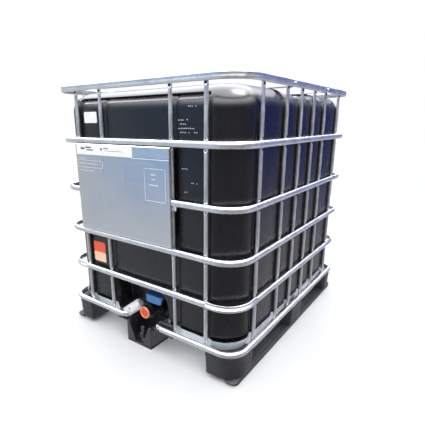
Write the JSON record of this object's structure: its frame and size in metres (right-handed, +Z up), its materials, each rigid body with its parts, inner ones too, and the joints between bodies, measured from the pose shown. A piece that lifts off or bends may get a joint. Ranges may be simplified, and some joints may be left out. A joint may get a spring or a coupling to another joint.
{
  "type": "intermediate bulk container",
  "caption": "Black blow-moulded bulk container in a galvanised tube cage on a steel tray pallet with plastic feet, screw fill cap, data plate and front butterfly outlet valve.",
  "frame": {"origin": "on the floor, under the middle of the pallet", "axes": "+Z up, -Y is the front with the outlet valve and data plate, +X is the right side seen from the front; Y is the long side"},
  "size_m": [1, 1.2, 1.15],
  "materials": {
    "galvanised_tube": "hot-dip galvanised tube, satin with faint spangle",
    "galvanised_bar": "galvanised flat bar, satin",
    "galvanised_sheet": "galvanised pressed sheet, satin with faint spangle",
    "data_plate_sheet": "galvanised sheet, satin",
    "zinc_fastener": "bright zinc-plated",
    "stainless_stem": "turned stainless steel",
    "black_polyethylene": "blow-moulded polyethylene, semi-gloss with slow waviness",
    "black_closure": "injection-moulded polyethylene, satin",
    "red_closure": "injection-moulded polyethylene, satin",
    "seal_rubber": "moulded EPDM rubber, matt",
    "foot_plastic": "recycled polyethylene, matt and scuffed",
    "runner_plastic": "recycled polyethylene, matt and scuffed",
    "valve_plastic": "black polyethylene moulding, satin",
    "blue_handle": "blue moulding, satin",
    "orange_closure": "orange-red moulding, satin",
    "light_adapter": "light grey moulding, satin"
  },
  "bodies": {
    "container": {"upright_front_1": "galvanised_tube", "upright_front_2": "galvanised_tube", "upright_front_3": "galvanised_tube", "upright_front_4": "galvanised_tube", "upright_back_1": "galvanised_tube", "upright_back_2": "galvanised_tube", "upright_back_3": "galvanised_tube", "upright_back_4": "galvanised_tube", "upright_left_1": "galvanised_tube", "upright_left_2": "galvanised_tube", "upright_left_3": "galvanised_tube", "upright_left_4": "galvanised_tube", "upright_left_5": "galvanised_tube", "upright_left_6": "galvanised_tube", "upright_right_1": "galvanised_tube", "upright_right_2": "galvanised_tube", "upright_right_3": "galvanised_tube", "upright_right_4": "galvanised_tube", "upright_right_5": "galvanised_tube", "upright_right_6": "galvanised_tube", "hoop_1": "galvanised_tube", "hoop_2": "galvanised_tube", "hoop_3": "galvanised_tube", "hoop_4": "galvanised_tube", "top_rim": "galvanised_tube", "base_ring": "galvanised_tube", "crossbar_front": "galvanised_bar", "crossbar_back": "galvanised_bar", "pallet_tray": "galvanised_sheet", "data_plate": "data_plate_sheet", "rivet_front_left": "zinc_fastener", "rivet_front_right": "zinc_fastener", "rivet_back_left": "zinc_fastener", "rivet_back_right": "zinc_fastener", "bottle": "black_polyethylene", "foot_front_left": "foot_plastic", "foot_front_right": "foot_plastic", "foot_middle_left": "foot_plastic", "foot_middle_right": "foot_plastic", "foot_back_left": "foot_plastic", "foot_back_right": "foot_plastic", "foot_middle_centre": "foot_plastic", "foot_back_centre": "foot_plastic", "valve_guard": "foot_plastic", "runner_left": "runner_plastic", "runner_right": "runner_plastic", "outlet_nut": "valve_plastic", "valve_body": "valve_plastic", "hose_adapter": "light_adapter"},
    "fill_gasket": {"fill_cap_gasket": "seal_rubber"},
    "fill_cap": {"fill_cap": "black_closure"},
    "vent_seal": {"vent_plug_seal": "seal_rubber"},
    "vent_plug": {"vent_plug": "red_closure"},
    "valve_handle": {"valve_lever": "blue_handle", "valve_stem": "stainless_stem", "butterfly_disc": "valve_plastic"},
    "outlet_gasket": {"outlet_cap_gasket": "seal_rubber"},
    "outlet_cap": {"outlet_cap": "orange_closure"}
  },
  "joints": [
    {"name": "fill_cap_lift", "type": "slide", "parent": "container", "child": "fill_gasket", "axis": [0, 0, 1], "range_m": [0, 0.018]},
    {"name": "fill_cap_turn", "type": "hinge", "parent": "fill_gasket", "child": "fill_cap", "pos_m": [0, 0, 1.078], "axis": [0, 0, 1], "range_deg": [0, 1080]},
    {"name": "vent_plug_lift", "type": "slide", "parent": "fill_cap", "child": "vent_seal", "axis": [0, 0, 1], "range_m": [0, 0.008]},
    {"name": "vent_plug_turn", "type": "hinge", "parent": "vent_seal", "child": "vent_plug", "pos_m": [0, 0, 1.1203], "axis": [0, 0, 1], "range_deg": [0, 720]},
    {"name": "valve_lever_turn", "type": "hinge", "parent": "container", "child": "valve_handle", "pos_m": [0, -0.518, 0.164], "axis": [0, 0, -1], "range_deg": [0, 90]},
    {"name": "outlet_cap_travel", "type": "slide", "parent": "container", "child": "outlet_gasket", "axis": [0, -1, 0], "range_m": [0, 0.015]},
    {"name": "outlet_cap_turn", "type": "hinge", "parent": "outlet_gasket", "child": "outlet_cap", "pos_m": [0, -0.5445, 0.164], "axis": [0, -1, 0], "range_deg": [0, 1350]}
  ],
  "couplings": [
    {"joint": "fill_cap_lift", "follows": "fill_cap_turn", "m_per_rad": 0.00095493},
    {"joint": "vent_plug_lift", "follows": "vent_plug_turn", "m_per_rad": 0.00063662},
    {"joint": "outlet_cap_travel", "follows": "outlet_cap_turn", "m_per_rad": 0.00063662}
  ]
}
